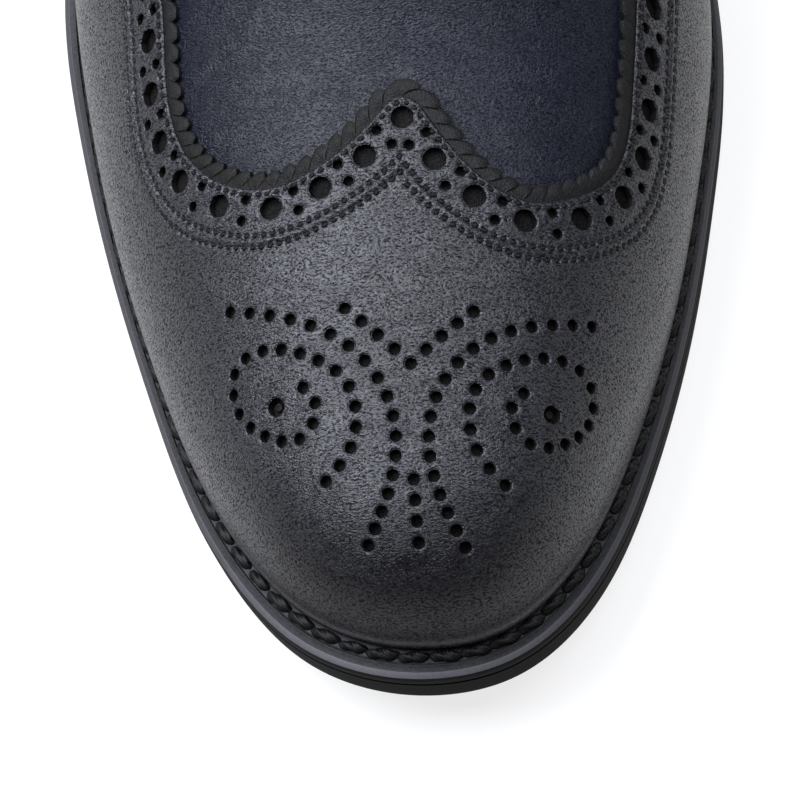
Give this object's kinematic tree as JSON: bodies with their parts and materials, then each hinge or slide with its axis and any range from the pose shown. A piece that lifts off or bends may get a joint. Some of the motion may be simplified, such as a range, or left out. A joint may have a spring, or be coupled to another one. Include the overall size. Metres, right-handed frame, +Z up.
{
  "type": "lace-up shoe",
  "caption": "Right dress shoe with a winged, perforated toe cap, closed straight lacing, a storm welt and a stacked low heel.",
  "frame": {"origin": "middle of the sole's length and width, on the floor that the heel and forefoot stand on", "axes": "+Z up; +Y from toe to heel; +X towards the wearer's other foot (the inner side)"},
  "size_m": [0.112, 0.304, 0.1132],
  "materials": {
    "navy_leather": "satin, fine grain",
    "black_leather": "satin",
    "lining_leather": "matte",
    "black_sole": "satin edge",
    "black_rubber": "matte",
    "black_lace": "waxed cotton"
  },
  "bodies": {
    "root": {"outsole": "black_sole", "heel_block": "black_sole", "heel_lift": "black_rubber", "welt": "black_sole", "insole": "lining_leather", "upper": "navy_leather", "wing_cap": "navy_leather", "edge_strip": "black_leather", "tongue": "navy_leather", "lace": "black_lace"}
  },
  "joints": []
}
